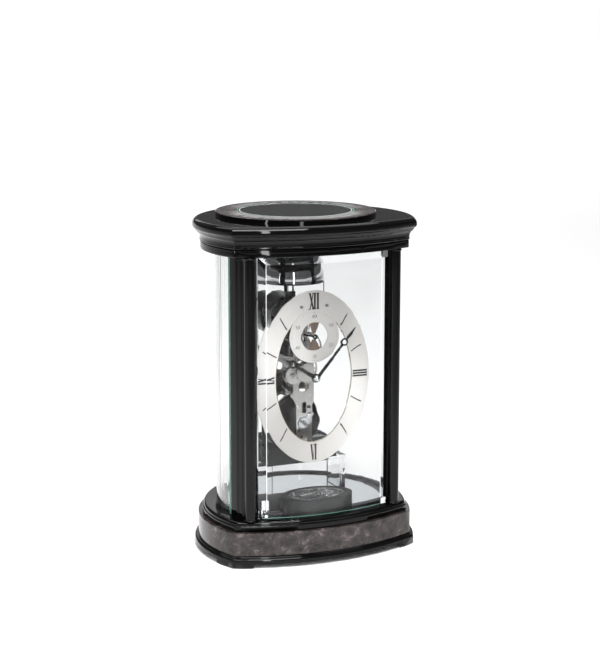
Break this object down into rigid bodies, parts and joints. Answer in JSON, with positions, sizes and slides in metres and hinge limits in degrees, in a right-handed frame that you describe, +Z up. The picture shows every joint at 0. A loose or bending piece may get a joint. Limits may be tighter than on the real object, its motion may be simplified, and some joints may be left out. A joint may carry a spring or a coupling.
{
  "type": "skeleton clock",
  "caption": "Bow-fronted glazed table clock with a round back, an open oval dial, a going train, a bell and a hinged glass front",
  "frame": {"origin": "centre of the footprint, on the surface the clock stands on", "axes": "+Z up, -Y the front with the dial, +X to the right of someone facing the dial"},
  "size_m": [0.2776, 0.2336, 0.42],
  "materials": {
    "lacquer": "black piano lacquer on wood, polished",
    "burl": "grey-stained burl veneer under clear lacquer",
    "felt": "felt pad",
    "mirror": "mirror plate on the deck",
    "glass": "clear glass with ground bevels",
    "acrylic": "clear acrylic, polished edges",
    "polished_steel": "polished nickel-plated steel",
    "chrome": "chromed bell metal",
    "dial_silver": "silvered, finely brushed dial plate",
    "blued_steel": "dark spring steel",
    "brass": "turned brass, rhodium-tinted",
    "hand_black": "black-painted hands"
  },
  "bodies": {
    "case": {"lower_moulding": "lacquer", "foot_pads": "felt", "burl_band": "burl", "base_top": "lacquer", "mirror_floor": "mirror", "column_left": "lacquer", "column_right": "lacquer", "corner_post_left": "lacquer", "corner_post_right": "lacquer", "side_glass_left": "glass", "side_glass_right": "glass", "hood_architrave": "lacquer", "hood_cornice": "lacquer", "top_ring": "burl", "top_glass": "glass", "door_magnet": "polished_steel", "pedestal": "lacquer", "key_tray": "polished_steel", "acrylic_riser": "acrylic", "movement_seat": "lacquer", "front_plate": "polished_steel", "rear_plate": "polished_steel", "plate_pillars": "polished_steel", "plate_screws": "blued_steel", "dial_ring": "dial_silver", "seconds_ring": "dial_silver", "dial_feet": "polished_steel", "escapement_cover": "lacquer", "balance_cock": "brass", "bell": "chrome", "bell_bracket": "lacquer", "bell_nut": "polished_steel", "minute_wheel_stud": "polished_steel", "hairspring": "blued_steel", "barrel_arbor": "polished_steel", "ratchet_wheel": "polished_steel", "click": "polished_steel"},
    "door": {"front_glass": "glass", "door_clips": "polished_steel", "door_pins": "polished_steel", "door_strike_plate": "polished_steel"},
    "key": {"winding_key": "polished_steel"},
    "barrel": {"going_barrel": "brass", "mainspring": "blued_steel"},
    "intermediate_arbor": {"intermediate_wheel": "brass"},
    "minute_arbor": {"center_wheel": "brass", "cannon_pinion": "polished_steel", "minute_hand": "hand_black", "hand_nut": "polished_steel"},
    "motion_wheel": {"minute_wheel": "brass"},
    "hour_pipe": {"hour_wheel": "brass", "hour_hand": "hand_black"},
    "third_arbor": {"third_wheel": "brass"},
    "seconds_arbor": {"fourth_wheel": "brass", "seconds_hand": "hand_black"},
    "escape_arbor": {"escape_wheel": "brass"},
    "lever": {"pallet_lever": "polished_steel"},
    "balance": {"balance_wheel": "brass"},
    "strike_hammer": {"hammer": "polished_steel"}
  },
  "joints": [
    {"name": "door_hinge", "type": "hinge", "parent": "case", "child": "door", "pos_m": [0.0805, -0.082, 0.2], "axis": [0, 0, 1], "range_deg": [0, 105]},
    {"name": "key_lift", "type": "slide", "parent": "case", "child": "key", "axis": [0, 0, 1], "range_m": [0, 0.03]},
    {"name": "minute_turn", "type": "hinge", "parent": "case", "child": "minute_arbor", "pos_m": [0, 0, 0.2185], "axis": [0, 1, 0], "continuous": true},
    {"name": "hour_turn", "type": "hinge", "parent": "case", "child": "hour_pipe", "pos_m": [0, 0, 0.2185], "axis": [0, 1, 0], "continuous": true},
    {"name": "motion_turn", "type": "hinge", "parent": "case", "child": "motion_wheel", "pos_m": [-0.01477, 0, 0.2159], "axis": [0, 1, 0], "continuous": true},
    {"name": "third_turn", "type": "hinge", "parent": "case", "child": "third_arbor", "pos_m": [0.00558, 0, 0.24492], "axis": [0, 1, 0], "continuous": true},
    {"name": "seconds_turn", "type": "hinge", "parent": "case", "child": "seconds_arbor", "pos_m": [0, 0, 0.2698], "axis": [0, 1, 0], "continuous": true},
    {"name": "escape_turn", "type": "hinge", "parent": "case", "child": "escape_arbor", "pos_m": [-0.014, 0, 0.28625], "axis": [0, 1, 0], "continuous": true},
    {"name": "intermediate_turn", "type": "hinge", "parent": "case", "child": "intermediate_arbor", "pos_m": [-0.01038, 0, 0.18781], "axis": [0, 1, 0], "continuous": true},
    {"name": "barrel_turn", "type": "hinge", "parent": "case", "child": "barrel", "pos_m": [0, 0, 0.1525], "axis": [0, 1, 0], "continuous": true},
    {"name": "lever_swing", "type": "hinge", "parent": "case", "child": "lever", "pos_m": [-0.0032, 0.029, 0.2838], "axis": [0, 1, 0], "range_deg": [-5, 5]},
    {"name": "balance_swing", "type": "hinge", "parent": "case", "child": "balance", "pos_m": [0.008, 0.038, 0.2818], "axis": [0, 1, 0], "range_deg": [-135, 135]},
    {"name": "hammer_swing", "type": "hinge", "parent": "case", "child": "strike_hammer", "pos_m": [0.024, 0.022, 0.3008], "axis": [0, 1, 0], "range_deg": [-8, 0]}
  ],
  "couplings": [
    {"joint": "hour_turn", "follows": "minute_turn", "ratio": 0.083333},
    {"joint": "motion_turn", "follows": "minute_turn", "ratio": -0.33333},
    {"joint": "third_turn", "follows": "minute_turn", "ratio": -8},
    {"joint": "seconds_turn", "follows": "minute_turn", "ratio": 60},
    {"joint": "escape_turn", "follows": "minute_turn", "ratio": -480},
    {"joint": "intermediate_turn", "follows": "minute_turn", "ratio": -0.125},
    {"joint": "barrel_turn", "follows": "minute_turn", "ratio": 0.01875}
  ]
}
